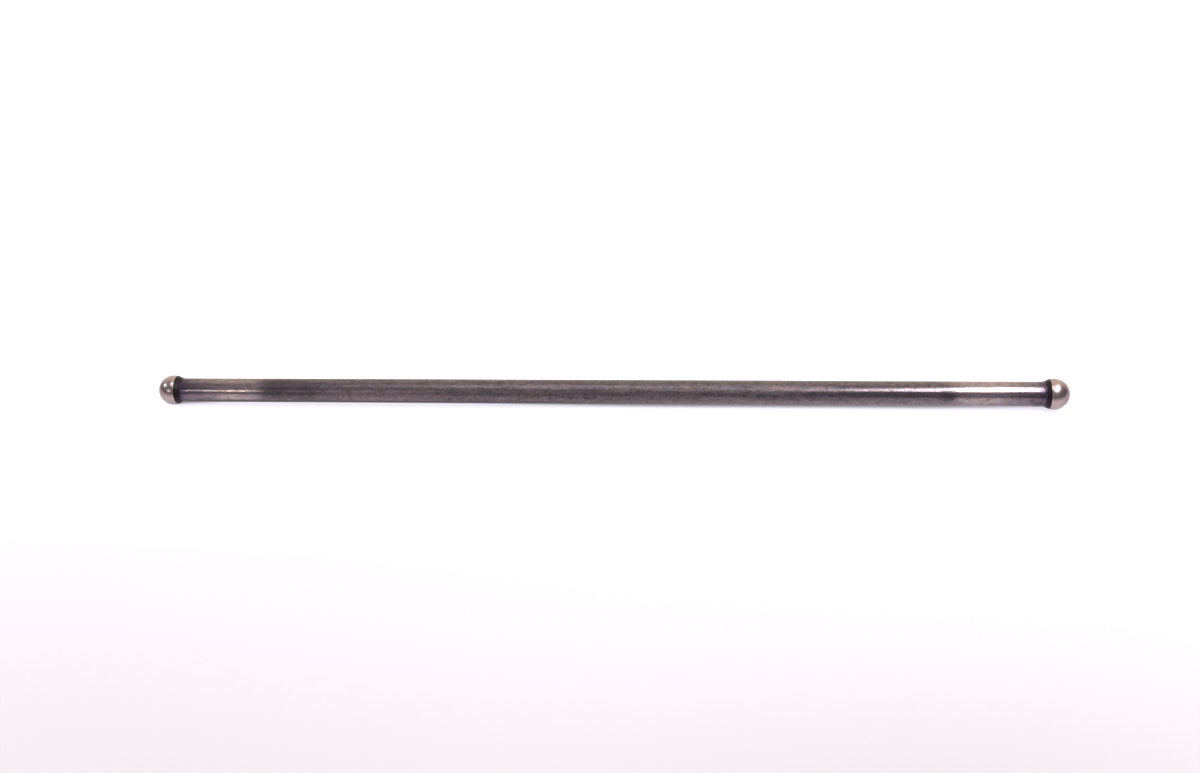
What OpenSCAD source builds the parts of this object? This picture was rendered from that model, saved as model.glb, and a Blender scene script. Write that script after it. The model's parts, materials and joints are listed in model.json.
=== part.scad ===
// Engine pushrod: one solid steel rod with a ball headed on each end.
// It lies along X, with the origin on its axis, half way between the two ball tips.

/* [Rod] */
// Length over the two ball tips
overall_l = 225; // [120:1:320]
// Diameter of the drawn shank
shank_d = 6; // [4:0.1:7]

/* [Ends] */
// Diameter of the ground ball on each end
ball_d = 7.5; // [7.1:0.1:10]
// Radius of the hollow neck that blends each ball into the shank
neck_r = 2.4; // [0.5:0.1:6]

/* [Hidden] */

$fn = 96;

shank_r = shank_d / 2;
ball_r = ball_d / 2;
// Ball centres, on the axis to either side of the origin
ball_at = overall_l / 2 - ball_r;
// Centre of the neck's arc: out from the axis, and along it from the ball's centre.
// The arc is tangent to the shank, and to the ball on the line between the two centres.
neck_out = shank_r + neck_r;
neck_along = sqrt(pow(ball_r + neck_r, 2) - pow(neck_out, 2));

// Plain round bar between the two ball centres, upright
module shank() {
    cylinder(r = shank_r, h = 2 * ball_at, center = true);
}

// Hollow neck below a ball whose centre is at the origin: a cone turned down to the arc
module neck() {
    rotate_extrude()
        difference() {
            polygon([[0, 0], [neck_out, -neck_along], [0, -neck_along]]);
            translate([neck_out, -neck_along])
                circle(r = neck_r);
        }
}

// Upper end of the upright rod: the ball, with its neck below it
module ball_end() {
    translate([0, 0, ball_at]) {
        sphere(r = ball_r);
        neck();
    }
}

// The whole rod, laid along X
module pushrod() {
    color("dimgray")
        rotate([0, 90, 0]) {
            shank();
            ball_end();
            mirror([0, 0, 1])
                ball_end();
        }
}

pushrod();
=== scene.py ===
# Looks of the engine pushrod: one drawn steel rod with black necks and a polished ball on each end.
import json
import math
from collections import namedtuple

import bpy
from mathutils import Matrix, Vector


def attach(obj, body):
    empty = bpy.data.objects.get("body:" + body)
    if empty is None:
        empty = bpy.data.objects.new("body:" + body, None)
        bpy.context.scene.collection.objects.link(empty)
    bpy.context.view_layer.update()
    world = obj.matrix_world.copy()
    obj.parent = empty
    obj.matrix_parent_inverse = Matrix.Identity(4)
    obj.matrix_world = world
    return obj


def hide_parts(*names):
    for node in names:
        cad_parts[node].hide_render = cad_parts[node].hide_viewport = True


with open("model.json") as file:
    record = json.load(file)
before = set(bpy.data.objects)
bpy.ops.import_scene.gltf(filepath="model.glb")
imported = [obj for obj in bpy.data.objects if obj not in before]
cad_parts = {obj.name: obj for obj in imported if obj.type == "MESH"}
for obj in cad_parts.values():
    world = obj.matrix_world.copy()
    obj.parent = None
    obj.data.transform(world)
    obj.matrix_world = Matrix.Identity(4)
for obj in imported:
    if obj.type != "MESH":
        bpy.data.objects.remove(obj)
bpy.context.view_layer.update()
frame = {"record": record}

# Sizes in millimetres, along the rod from its middle and out from its axis
MM = 0.001
rocker_ball = next(mount for mount in frame["record"]["mounts"] if mount["name"] == "rocker_ball")
BALL_R = rocker_ball["dims"]["r_mm"]
BALL_AT = rocker_ball["pos_m"][0] / MM
SHANK_R = 3.0
NECK_R = 2.4
NECK_OUT = SHANK_R + NECK_R
NECK_ALONG = math.sqrt((BALL_R + NECK_R) ** 2 - NECK_OUT ** 2)
NECK_TURN = math.atan2(NECK_ALONG, NECK_OUT)
SHANK_END = BALL_AT - NECK_ALONG

# Borders of the end zones, in from a ball's centre and negative past it: where each zone begins
# and where it is whole
RUBBED_BORDER = (33.8, 27.0)
HEAT_DULLED_AND_SHADED_BORDER = (16.9, 6.9)
TINTED_BORDER = (5.4, 3.8)
BLACK_BORDER = (3.2, 2.6)
GROUND_BORDER = (1.15, 1.05)
STAINED_BORDER = (-0.6, -2.8)
# Border of the oily stretch before the rocker end's rubbed zone, along the rod
OILY_BORDER = (28.0, 54.0)
# Stretch along the rod over which the look of the tappet half turns into that of the rocker half
HALVES = (-50.0, 50.0)

# Marks on the surface: place along the rod, degrees up from its front, length, width and strength
Spot = namedtuple("Spot", "along turn length width strength")
SMUDGES_AND_PAINTED_SHADE = [
    Spot(-82.0, 64.0, 9.0, 5.8, 0.7),
    Spot(-81.4, 42.0, 4.4, 3.0, 0.6),
    Spot(-76.0, 56.0, 18.0, 7.0, 0.6),
    Spot(-73.4, 52.0, 5.0, 3.4, 0.4),
    # Painted shade: a faint darker strip along the top of the tappet half
    Spot(-50.0, 66.0, 56.0, 3.0, 0.3),
    Spot(64.0, 14.0, 48.0, 2.6, 0.35),
    Spot(83.6, 27.5, 5.0, 2.9, 0.95),
    # Painted shade: darker low on the rocker end's shank, next to the neck
    Spot(104.9, -24.0, 5.0, 4.6, 0.95),
]
PALE_SPOTS_AND_PAINTED_HIGHLIGHT = [
    Spot(-54.0, 12.0, 40.0, 5.0, 0.9),
    # Painted highlight: a thin pale line that carries on the warm lamp's highlight along the tappet half
    Spot(-62.0, 34.5, 40.0, 0.8, 0.6),
    Spot(36.0, -24.0, 110.0, 2.8, 0.8),
]

# One finish of the steel: where it lies, its colour, roughness and metallic part, and its share of
# the scratches' depth, or None where it leaves that of the finish below
Finish = namedtuple("Finish", "mask shade rough metal relief", defaults=[None])
SCRATCH_DEPTH = 0.05
SCRATCH_STRENGTH = 0.35
# Darkest that noise makes a finish, as a share of its colour
DARKEST = 0.2

# Fineness of the turned mesh: rings on each half of the rod, and sides around it
SHANK_RINGS = 66
NECK_RINGS = 12
BALL_RINGS = 44
SIDES = 128
# The rod's skin is unrolled into this many strips, with a bare edge round each
STRIPS = 4
STRIP_EDGE = 0.02


def half_profile():
    """Place along the rod and radius of each ring, from the middle out to the tip of one ball."""
    rings = []
    for step in range(SHANK_RINGS + 1):
        rings.append((SHANK_END * step / SHANK_RINGS, SHANK_R))
    for step in range(1, NECK_RINGS + 1):
        turn = NECK_TURN * step / NECK_RINGS
        rings.append((SHANK_END + NECK_R * math.sin(turn), NECK_OUT - NECK_R * math.cos(turn)))
    for step in range(1, BALL_RINGS):
        turn = (math.pi / 2 + NECK_TURN) * (1 - step / BALL_RINGS)
        rings.append((BALL_AT + BALL_R * math.cos(turn), BALL_R * math.sin(turn)))
    rings.append((BALL_AT + BALL_R, 0.0))
    return rings


def turn_rings(rings):
    """Vertices of the rings turned about X, and the vertices of each ring in order around it."""
    vertices = []
    ring_corners = []
    for along, radius in rings:
        count = SIDES if radius else 1
        first = len(vertices)
        for side in range(count):
            turn = 2 * math.pi * side / SIDES
            vertices.append((along * MM, radius * math.sin(turn) * MM, -radius * math.cos(turn) * MM))
        ring_corners.append([first + side % count for side in range(SIDES + 1)])
    return vertices, ring_corners


def unroll_faces(rings, ring_corners):
    """Faces between the rings, and the place of each of their corners on the unrolled skin."""
    paths = [0.0]
    for start, end in zip(rings, rings[1:]):
        paths.append(paths[-1] + math.dist(start, end))

    room = 1 - 2 * STRIP_EDGE
    faces = []
    places = []
    for ring in range(len(rings) - 1):
        strip = int(STRIPS * (paths[ring] + paths[ring + 1]) / 2 / paths[-1])
        for side in range(SIDES):
            corners = {}
            for at, turn in ((ring, side), (ring + 1, side), (ring + 1, side + 1), (ring, side + 1)):
                across = STRIPS * paths[at] / paths[-1] - strip
                around = turn / SIDES
                place = (STRIP_EDGE + room * across, (strip + STRIP_EDGE + room * around) / STRIPS)
                corners.setdefault(ring_corners[at][turn], place)
            faces.append(tuple(corners))
            places.extend(corners.values())
    return faces, places


def rod_mesh():
    """Closed mesh of the whole rod, turned about X, with its skin unrolled for a texture."""
    half = half_profile()
    rings = [(-along, radius) for along, radius in reversed(half[1:])] + half
    vertices, ring_corners = turn_rings(rings)
    faces, places = unroll_faces(rings, ring_corners)
    mesh = bpy.data.meshes.new("pushrod_steel")
    mesh.from_pydata(vertices, [], faces)
    unrolled = mesh.uv_layers.new(name="OFBake")
    for corner, place in zip(unrolled.data, places):
        corner.uv = place
    mesh.shade_smooth()
    mesh.validate()
    return mesh


class Nodes:
    """Adds linked nodes to one tree. Inputs are sockets, which are linked, or values, which are set."""

    def __init__(self, tree):
        self.tree = tree
        tree.nodes.clear()

    def add(self, kind, inputs, **settings):
        node = self.tree.nodes.new(kind)
        for name, value in settings.items():
            setattr(node, name, value)
        for name, value in inputs.items():
            if isinstance(value, bpy.types.NodeSocket):
                self.tree.links.new(value, node.inputs[name])
            else:
                node.inputs[name].default_value = value
        return node

    def maths(self, operation, *values):
        return self.add("ShaderNodeMath", dict(enumerate(values)), operation=operation).outputs[0]

    def vectors(self, operation, *values):
        return self.add("ShaderNodeVectorMath", dict(enumerate(values)), operation=operation).outputs[0]

    def scaled(self, vector, factor):
        """Place or colour times a number."""
        inputs = {0: vector, "Scale": factor}
        return self.add("ShaderNodeVectorMath", inputs, operation="SCALE").outputs[0]

    def length(self, vector):
        return self.add("ShaderNodeVectorMath", {0: vector}, operation="LENGTH").outputs["Value"]

    def place(self):
        """Place on the object, in millimetres."""
        return self.scaled(self.add("ShaderNodeTexCoord", {}).outputs["Object"], 1 / MM)

    def parts(self, vector):
        """The three parts of a place: along the rod, across it and up."""
        return self.add("ShaderNodeSeparateXYZ", {0: vector}).outputs

    def stretched(self, place, along, around):
        """Place scaled along the rod and around it, so that noise turns into streaks."""
        return self.vectors("MULTIPLY", place, (along, around, around))

    def rise(self, value, low, high, start=0.0, end=1.0):
        """Smooth change from start to end as value goes from low to high."""
        inputs = {"Value": value, "From Min": low, "From Max": high, "To Min": start, "To Max": end}
        node = self.add("ShaderNodeMapRange", inputs, interpolation_type="SMOOTHSTEP")
        return node.outputs["Result"]

    def mix(self, factor, first, second):
        """Blend of two numbers."""
        node = self.add("ShaderNodeMix", {0: factor, 2: first, 3: second}, data_type="FLOAT")
        return node.outputs[0]

    def tint(self, factor, first, second):
        """Blend of two colours."""
        node = self.add("ShaderNodeMix", {0: factor, 6: first, 7: second}, data_type="RGBA")
        return node.outputs[2]

    def noise(self, place, detail=3.0, roughness=0.55):
        inputs = {"Vector": place, "Scale": 1.0, "Detail": detail, "Roughness": roughness}
        return self.add("ShaderNodeTexNoise", inputs).outputs["Fac"]

    def shifted(self, value, *marks):
        """Value moved by pairs of a noise and its strength, which makes a border ragged."""
        for mark, strength in marks:
            value = self.maths("MULTIPLY_ADD", mark, strength, value)
        return value

    def varied(self, *marks):
        """Brightness about 1, from pairs of a noise and its strength."""
        base = 1.0 - 0.5 * sum(strength for _, strength in marks)
        return self.maths("MAXIMUM", self.shifted(base, *marks), DARKEST)

    def surface(self, inputs):
        """Ends the tree with a shader that has these inputs."""
        shader = self.add("ShaderNodeBsdfPrincipled", inputs)
        self.add("ShaderNodeOutputMaterial", {"Surface": shader.outputs[0]})


def colour(red, green, blue):
    return (red, green, blue, 1.0)


def draw_marks(nodes, place):
    """Noise that the steel's finishes share, from long streaks down to fine grain."""
    return {
        "streaks": nodes.noise(nodes.stretched(place, 0.06, 2.8), 4.0),
        "patches": nodes.noise(nodes.stretched(place, 0.15, 0.35), 4.0, 0.6),
        "stains": nodes.noise(nodes.stretched(place, 0.08, 0.6), 2.0),
        "mottle": nodes.noise(nodes.stretched(place, 0.55, 1.1), 3.0, 0.6),
        "hues": nodes.noise(nodes.stretched(place, 0.9, 1.7), 3.0, 0.6),
        "grain": nodes.noise(nodes.stretched(place, 2.2, 3.2), 2.0, 0.6),
        "scratches": nodes.noise(nodes.stretched(place, 0.18, 7.0), 2.0),
    }


def worn_shank(nodes, marks):
    """Long dark middle, which all other finishes lie on."""
    stained = nodes.rise(marks["stains"], 0.5, 0.72, 0.0, 0.7)
    tone = nodes.tint(stained, colour(0.076, 0.060, 0.066), colour(0.090, 0.066, 0.062))
    pairs = [(marks["streaks"], 1.6), (marks["patches"], 0.8), (marks["mottle"], 1.3), (marks["grain"], 2.8)]
    shade = nodes.scaled(tone, nodes.varied(*pairs))
    rough = nodes.rise(marks["grain"], 0.3, 0.7, 0.44, 0.34)
    return Finish(1.0, shade, rough, metal=0.6, relief=1.0)


def oily_zone(nodes, marks, along):
    """Smoother stretch next to the rubbed zone of the rocker end."""
    mask = nodes.rise(nodes.shifted(along, (marks["patches"], -22.0)), *OILY_BORDER)
    pairs = [(marks["streaks"], 0.8), (marks["mottle"], 1.2), (marks["grain"], 2.0)]
    shade = nodes.scaled((0.110, 0.090, 0.100), nodes.varied(*pairs))
    rough = nodes.rise(marks["grain"], 0.3, 0.7, 0.25, 0.17)
    return Finish(mask, shade, rough, metal=0.8, relief=0.35)


def rubbed_zone(nodes, marks, along, across, inward, height):
    """Bright end zone with a ragged border, thinned out below by painted shade, and made duller by heat next
    to the neck, with painted shade there low down.
    """
    zone = nodes.rise(nodes.shifted(inward, (marks["patches"], 9.0), (marks["mottle"], 6.0)), *RUBBED_BORDER)
    # Painted shade: the rubbed finish thins out along the underside, most on the tappet half
    rubbed_share_in_painted_shade = nodes.rise(along, *HALVES, 0.1, 0.45)
    rubbed_above_painted_shade = nodes.rise(nodes.maths("ADD", marks["mottle"], height), -0.6, 0.5, rubbed_share_in_painted_shade, 1.0)
    mask = nodes.maths("MULTIPLY", zone, rubbed_above_painted_shade)

    # Made duller by heat next to the neck; the height term is painted shade that makes it reach further in
    # low down
    heat_dulled_and_shaded = nodes.rise(nodes.maths("MULTIPLY_ADD", height, 1.5, inward), *HEAT_DULLED_AND_SHADED_BORDER)
    tone = nodes.tint(heat_dulled_and_shaded, colour(0.244, 0.201, 0.202), colour(0.116, 0.094, 0.112))
    # Painted shade: the tappet end is darker on its far side
    painted_far_side_shade = nodes.mix(nodes.rise(along, *HALVES), nodes.rise(across, -1.4, 0.9, 1.0, 0.56), 1.0)
    pairs = [(marks["scratches"], 1.5), (marks["mottle"], 1.4), (marks["grain"], 1.0)]
    shade = nodes.scaled(nodes.scaled(tone, painted_far_side_shade), nodes.varied(*pairs))
    rough = nodes.rise(marks["mottle"], 0.3, 0.7, 0.27, 0.18)
    return Finish(mask, shade, rough, metal=0.85, relief=0.06)


def painted_underside_shade(nodes, marks, along, height):
    """Painted shade along the underside of the tappet half of the rod."""
    strength = nodes.rise(along, 30.0, -20.0, 0.0, 0.9)
    mask = nodes.rise(nodes.shifted(height, (marks["mottle"], 0.5)), -0.25, -0.85, 0.0, strength)
    return Finish(mask, colour(0.030, 0.023, 0.028), rough=0.45, metal=0.6)


def spot_mask(nodes, marks, place, spot):
    """Mask of one oily mark, pale stretch, painted shade or painted highlight, with a ragged border."""
    turn = math.radians(spot.turn)
    centre = (spot.along, -SHANK_R * math.cos(turn), SHANK_R * math.sin(turn))
    offset = nodes.vectors("SUBTRACT", place, centre)
    reach = nodes.length(nodes.stretched(offset, 2 / spot.length, 2 / spot.width))
    return nodes.rise(nodes.shifted(reach, (marks["mottle"], 1.2)), 1.9, 0.8, 0.0, spot.strength)


def smudge_and_painted_shade(nodes, marks, place, spot):
    """One dark mark on the surface, oily, except where the list marks it as painted shade."""
    return Finish(spot_mask(nodes, marks, place, spot), colour(0.036, 0.028, 0.033), rough=0.38, metal=0.6)


def pale_wear_and_painted_highlight(nodes, marks, place, spot):
    """One stretch that is worn a little paler; one thin line among them is a painted highlight."""
    brightness = nodes.varied((marks["mottle"], 1.6), (marks["grain"], 2.0))
    shade = nodes.scaled((0.115, 0.086, 0.092), brightness)
    return Finish(spot_mask(nodes, marks, place, spot), shade, rough=0.42, metal=0.6)


def heat_tint(nodes, marks, inward):
    """Dark violet that the heat of the forging left on the shank next to the neck."""
    mask = nodes.rise(nodes.shifted(inward, (marks["mottle"], 1.6)), *TINTED_BORDER, 0.0, 0.75)
    shade = nodes.scaled((0.054, 0.037, 0.064), nodes.varied((marks["grain"], 1.4)))
    return Finish(mask, shade, rough=0.32, metal=0.85)


def black_neck(nodes, marks, along, inward):
    """Forging scale behind the ball, ragged on the shank and a little wider on the tappet end."""
    widened = nodes.maths("MULTIPLY_ADD", along, 0.002, inward)
    mask = nodes.rise(nodes.shifted(widened, (marks["grain"], 0.8)), *BLACK_BORDER)
    shade = nodes.scaled((0.016, 0.011, 0.016), nodes.varied((marks["grain"], 1.6)))
    return Finish(mask, shade, rough=0.5, metal=0.9)


def polished_ball(nodes, marks, place, inward, height):
    """Polished ball with faint turning lines, stained at its tip and darker below by painted shade, with a
    crisp border.
    """
    mask = nodes.rise(inward, *GROUND_BORDER)
    turning = nodes.noise(nodes.stretched(place, 9.0, 0.25), 3.0)
    stained = nodes.rise(inward, *STAINED_BORDER, 0.0, 0.78)
    tone = nodes.tint(stained, colour(0.30, 0.248, 0.234), colour(0.142, 0.091, 0.110))
    # Painted shade: the ball is darker low down
    tone = nodes.scaled(tone, nodes.rise(height, 0.6, -1.6, 1.0, 0.84))
    shade = nodes.scaled(tone, nodes.varied((turning, 0.6), (marks["grain"], 0.6)))
    rough = nodes.rise(turning, 0.35, 0.7, 0.26, 0.33)
    return Finish(mask, shade, rough, metal=0.95, relief=0.0)


def steel_finishes(nodes, marks, place):
    """All finishes of the steel, painted shade and a painted highlight among them, each lying on those
    before it.
    """
    along, across, height = nodes.parts(place)
    inward = nodes.maths("SUBTRACT", BALL_AT, nodes.maths("ABSOLUTE", along))
    return [
        worn_shank(nodes, marks),
        oily_zone(nodes, marks, along),
        *[pale_wear_and_painted_highlight(nodes, marks, place, spot) for spot in PALE_SPOTS_AND_PAINTED_HIGHLIGHT],
        rubbed_zone(nodes, marks, along, across, inward, height),
        painted_underside_shade(nodes, marks, along, height),
        *[smudge_and_painted_shade(nodes, marks, place, spot) for spot in SMUDGES_AND_PAINTED_SHADE],
        heat_tint(nodes, marks, inward),
        black_neck(nodes, marks, along, inward),
        polished_ball(nodes, marks, place, inward, height),
    ]


def steel_material():
    """Drawn steel, dark with use: rubbed end zones, oily smudges, black necks and polished balls, with some
    painted shade and one painted highlight line.
    """
    material = bpy.data.materials.new("steel")
    material.use_nodes = True
    nodes = Nodes(material.node_tree)
    place = nodes.place()
    marks = draw_marks(nodes, place)

    shank, *finishes = steel_finishes(nodes, marks, place)
    _, shade, rough, metal, relief = shank
    for finish in finishes:
        shade = nodes.tint(finish.mask, shade, finish.shade)
        rough = nodes.mix(finish.mask, rough, finish.rough)
        metal = nodes.mix(finish.mask, metal, finish.metal)
        if finish.relief is not None:
            relief = nodes.mix(finish.mask, relief, finish.relief)

    # Small changes between a cool and a warm cast, on all but the balls
    ball = finishes[-1]
    cast = nodes.rise(marks["hues"], 0.36, 0.64)
    hue = nodes.tint(cast, colour(0.90, 1.0, 1.09), colour(1.10, 1.0, 0.91))
    hue = nodes.tint(ball.mask, hue, colour(1.0, 1.0, 1.0))

    scratched = nodes.mix(0.5, marks["scratches"], marks["grain"])
    depth = nodes.maths("MULTIPLY", scratched, relief)
    bump = nodes.add(
        "ShaderNodeBump",
        {"Height": depth, "Strength": SCRATCH_STRENGTH, "Distance": SCRATCH_DEPTH * MM},
    )
    nodes.surface({
        "Base Color": nodes.vectors("MULTIPLY", shade, hue),
        "Metallic": metal,
        "Roughness": rough,
        "Normal": bump.outputs[0],
    })
    return material


def floor_light(nodes, place, along, across):
    """Share of the light that the floor gets: least at its front right, and even again far away."""
    front = nodes.rise(along, -20.0, 80.0, 0.498, 0.455)
    near = nodes.rise(across, -125.0, -45.0, front, 0.592)
    by_the_rod = nodes.rise(across, -56.0, 0.0, 0.0, 0.40)
    far_away = nodes.rise(nodes.length(place), 120.0, 480.0)
    return nodes.mix(far_away, nodes.maths("ADD", near, by_the_rod), 1.2)


def contact_shade(nodes, along, across):
    """Share of the floor's glow, less close to the rod: a strip that lies further back by the middle."""
    tappet_end = -110.5
    beyond = nodes.maths("SUBTRACT", along, BALL_AT)
    beyond = nodes.maths("MAXIMUM", beyond, nodes.maths("SUBTRACT", tappet_end, along))
    beyond = nodes.maths("MAXIMUM", beyond, 0.0)
    tappet_set_back = nodes.rise(along, -112.0, -85.0, 0.0, 1.5)
    rocker_set_back = nodes.rise(along, 75.0, 115.0, 0.0, 0.7)
    set_back = nodes.mix(nodes.rise(along, -75.0, 20.0), tappet_set_back, rocker_set_back)
    aside = nodes.maths("SUBTRACT", across, set_back)
    reach = nodes.length(nodes.add("ShaderNodeCombineXYZ", {0: beyond, 1: aside}).outputs[0])
    return nodes.rise(reach, 0.2, 1.8, 0.16, 0.86)


def floor_material():
    """Plain pale card with a faint pink cast, a fine tooth and a lavender glow."""
    material = bpy.data.materials.new("pale_card")
    material.use_nodes = True
    nodes = Nodes(material.node_tree)
    place = nodes.place()
    along, across, _ = nodes.parts(place)
    tooth = nodes.noise(nodes.stretched(place, 0.9, 0.9), 3.0)
    card = nodes.tint(tooth, colour(0.465, 0.435, 0.445), colour(0.505, 0.475, 0.484))
    lighted = floor_light(nodes, place, along, across)
    nodes.surface({
        "Base Color": nodes.scaled(card, lighted),
        "Roughness": 0.9,
        "Emission Color": colour(0.92, 0.90, 1.0),
        "Emission Strength": nodes.maths("MULTIPLY", lighted, contact_shade(nodes, along, across)),
    })
    return material


def add_floor():
    """Level floor just under the two balls."""
    half = 4.0
    level = -BALL_R * MM
    mesh = bpy.data.meshes.new("floor")
    corners = [(-half, -half, level), (half, -half, level), (half, half, level), (-half, half, level)]
    mesh.from_pydata(corners, [], [(0, 1, 2, 3)])
    mesh.materials.append(floor_material())
    floor = bpy.data.objects.new("floor", mesh)
    bpy.context.scene.collection.objects.link(floor)


def add_room():
    """Even light from all round, bright behind the rod and dim in front, seen as a plain pale wall."""
    front = colour(0.235, 0.208, 0.272)
    back = colour(1.54, 1.35, 1.13)
    wall = colour(1.0, 0.99, 1.0)
    world = bpy.data.worlds.new("room")
    world.use_nodes = True
    nodes = Nodes(world.node_tree)
    direction = nodes.add("ShaderNodeTexCoord", {}).outputs["Generated"]
    _, toward_back, _ = nodes.parts(direction)
    light = nodes.tint(nodes.rise(toward_back, 0.15, 0.6), front, back)
    seen = nodes.add("ShaderNodeLightPath", {}).outputs["Is Camera Ray"]
    background = nodes.add("ShaderNodeBackground", {"Color": nodes.tint(seen, light, wall), "Strength": 1.0})
    nodes.add("ShaderNodeOutputWorld", {"Surface": background.outputs[0]})
    bpy.context.scene.world = world


def add_softbox(name, direction, distance, width, height, tone, radiance, spin=0.0):
    """Flat oval lamp that faces the rod from a direction, with its size and distance in metres."""
    area = math.pi / 4 * width * height
    lamp = bpy.data.lights.new(name, "AREA")
    lamp.shape = "ELLIPSE"
    lamp.size = width
    lamp.size_y = height
    lamp.color = tone
    lamp.energy = radiance * math.pi * area
    holder = bpy.data.objects.new(name, lamp)
    toward = Vector(direction).normalized()
    turn = toward.to_track_quat("Z", "Y").to_matrix().to_4x4()
    turn = turn @ Matrix.Rotation(math.radians(spin), 4, "Z")
    holder.matrix_world = Matrix.Translation(toward * distance) @ turn
    holder.visible_camera = False
    bpy.context.scene.collection.objects.link(holder)


def add_lights():
    """Large softbox above the rocker end, an oval overhead, one at the tappet end and a strip in front."""
    add_softbox(
        "main", (0.41, -0.14, 0.90), distance=0.70, width=0.64, height=0.235,
        tone=(1.0, 0.975, 0.955), radiance=17.0,
    )
    add_softbox(
        "overhead", (-0.15, -0.03, 0.99), distance=0.61, width=0.32, height=0.19,
        tone=(1.0, 0.97, 0.97), radiance=7.1, spin=-38.0,
    )
    add_softbox(
        "side", (-0.82, -0.04, 0.57), distance=0.80, width=0.15, height=0.22,
        tone=(0.98, 0.97, 1.0), radiance=14.0,
    )
    add_softbox(
        "warm", (-0.42, -0.75, 0.48), distance=1.0, width=0.34, height=0.04,
        tone=(1.0, 0.95, 0.87), radiance=24.0,
    )


def add_camera():
    """Camera at the picture's viewing angle, with the rod's right end the nearer one."""
    azimuth = math.radians(7.238)
    elevation = math.radians(40.0)
    roll = math.radians(-4.417)
    aim = Vector((0.19, 0.0, 1.714)) * MM
    distance = 319.6 * MM
    turn_z = Matrix.Rotation(azimuth, 4, "Z")
    turn_x = Matrix.Rotation(math.pi / 2 - elevation, 4, "X")
    turn = turn_z @ turn_x @ Matrix.Rotation(roll, 4, "Z")
    camera_data = bpy.data.cameras.new("camera")
    camera_data.sensor_width = 36.0
    camera_data.lens = 39.04
    camera_data.clip_start = 0.01
    camera = bpy.data.objects.new("camera", camera_data)
    camera.matrix_world = Matrix.Translation(aim) @ turn @ Matrix.Translation((0.0, 0.0, distance))
    bpy.context.scene.collection.objects.link(camera)
    bpy.context.scene.camera = camera


rod = bpy.data.objects.new("pushrod_steel", rod_mesh())
rod.data.materials.append(steel_material())
bpy.context.scene.collection.objects.link(rod)
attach(rod, "root")
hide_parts("pushrod")

add_floor()
add_room()
add_lights()
add_camera()
bpy.context.scene.view_settings.view_transform = "Standard"
